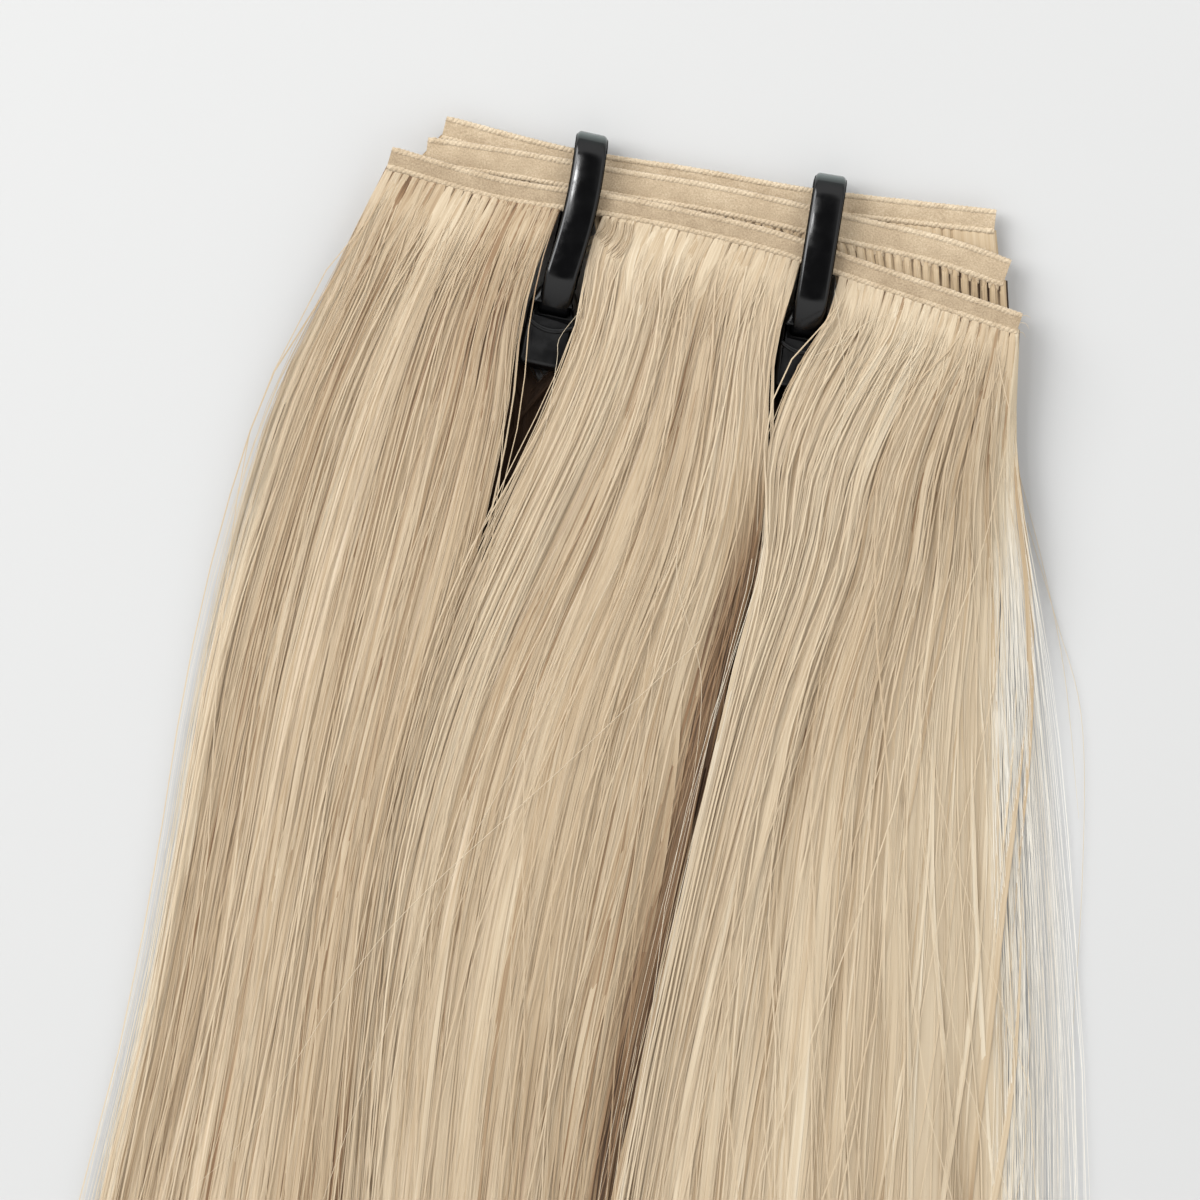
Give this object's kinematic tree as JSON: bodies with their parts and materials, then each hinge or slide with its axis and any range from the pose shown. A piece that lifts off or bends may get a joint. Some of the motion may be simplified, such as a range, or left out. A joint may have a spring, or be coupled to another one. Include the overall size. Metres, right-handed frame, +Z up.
{
  "type": "hair weft",
  "caption": "Stack of short straight hair wefts on sewn tracks, held together by nylon cable ties and lying flat with the hair parted into locks.",
  "frame": {"origin": "middle of the footprint on the table", "axes": "+X along the tracks to the right, +Y from the tips towards the tracks, +Z up from the table"},
  "size_m": [0.1172, 0.405, 0.0091],
  "materials": {
    "hair": "silky blonde strands",
    "track": "sewn thread band",
    "tie": "smooth black nylon"
  },
  "bodies": {
    "root": {"track_back": "track", "track_middle": "track", "track_front": "track", "hair_back": "hair", "hair_middle": "hair", "hair_front": "hair", "tie_left": "tie", "tie_right": "tie"}
  },
  "joints": []
}
